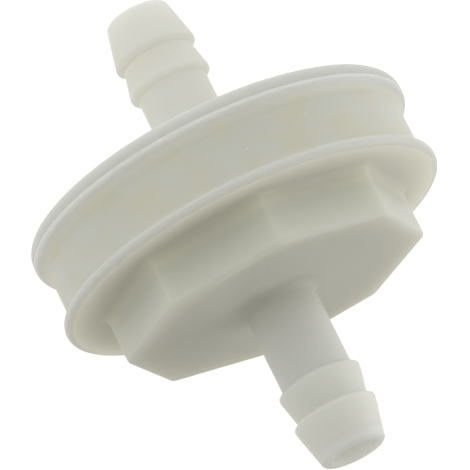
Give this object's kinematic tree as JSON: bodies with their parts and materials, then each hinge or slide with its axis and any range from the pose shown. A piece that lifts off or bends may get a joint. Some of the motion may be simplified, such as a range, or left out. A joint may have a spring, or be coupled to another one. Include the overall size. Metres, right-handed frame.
{
  "type": "inline fuel filter",
  "caption": "Disc-shaped inline fuel filter moulded in natural nylon, with an octagonal boss, a grooved rim, a welded cover, an inner screen and a barbed hose nipple at each end.",
  "frame": {"origin": "on the filter axis, halfway between the two nipple tips", "axes": "+Z along the filter axis, from the outlet nipple towards the inlet nipple and the eight-sided boss; +X and +Y square to flats of the boss"},
  "size_m": [0.0344, 0.0344, 0.0432],
  "materials": {
    "body_nylon": "milky natural nylon, satin, slightly uneven",
    "cover_nylon": "milky natural nylon, satin, slightly uneven",
    "screen_mesh": "plain-woven nylon monofilament"
  },
  "bodies": {
    "root": {"inlet_body": "body_nylon", "outlet_cover": "cover_nylon", "filter_screen": "screen_mesh"}
  },
  "joints": []
}
